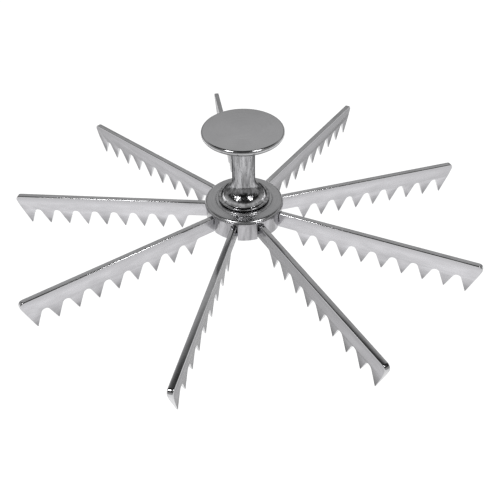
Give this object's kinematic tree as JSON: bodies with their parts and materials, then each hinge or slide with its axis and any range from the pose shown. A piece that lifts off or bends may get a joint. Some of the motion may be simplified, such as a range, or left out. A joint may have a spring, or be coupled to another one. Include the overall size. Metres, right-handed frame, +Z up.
{
  "type": "carpet tension star",
  "caption": "Star of toothed radial blades slotted into a round hub, pressed down by a palm disc on a short post; holds stretched carpet.",
  "frame": {"origin": "on the handle's axis, in the plane of the tooth tips, which is the surface that the star stands on", "axes": "+Z up along the handle, out of the palm disc; +Y along the first slot of the hub, with the other slots every 40 degrees"},
  "size_m": [0.338, 0.3333, 0.0876],
  "materials": {
    "polished_plate": "polished nickel plate",
    "turned_plate": "nickel plate over turned steel",
    "satin_plate": "satin nickel plate",
    "blade_steel": "ground and plated sheet steel",
    "zinc_steel": "zinc plate",
    "spring_steel": "dark spring steel"
  },
  "bodies": {
    "root": {"palm_disc": "polished_plate", "disc_stud": "zinc_steel", "handle_post": "turned_plate", "bell_collar": "polished_plate", "top_flange": "turned_plate", "hub_drum": "satin_plate", "blade_ring": "zinc_steel", "base_plate": "zinc_steel", "tie_bolt": "zinc_steel", "flat_washer": "zinc_steel", "lock_washer": "spring_steel", "blade_1": "blade_steel", "blade_2": "blade_steel", "blade_3": "blade_steel", "blade_4": "blade_steel", "blade_5": "blade_steel", "blade_6": "blade_steel", "blade_7": "blade_steel", "blade_8": "blade_steel", "blade_9": "blade_steel"}
  },
  "joints": []
}
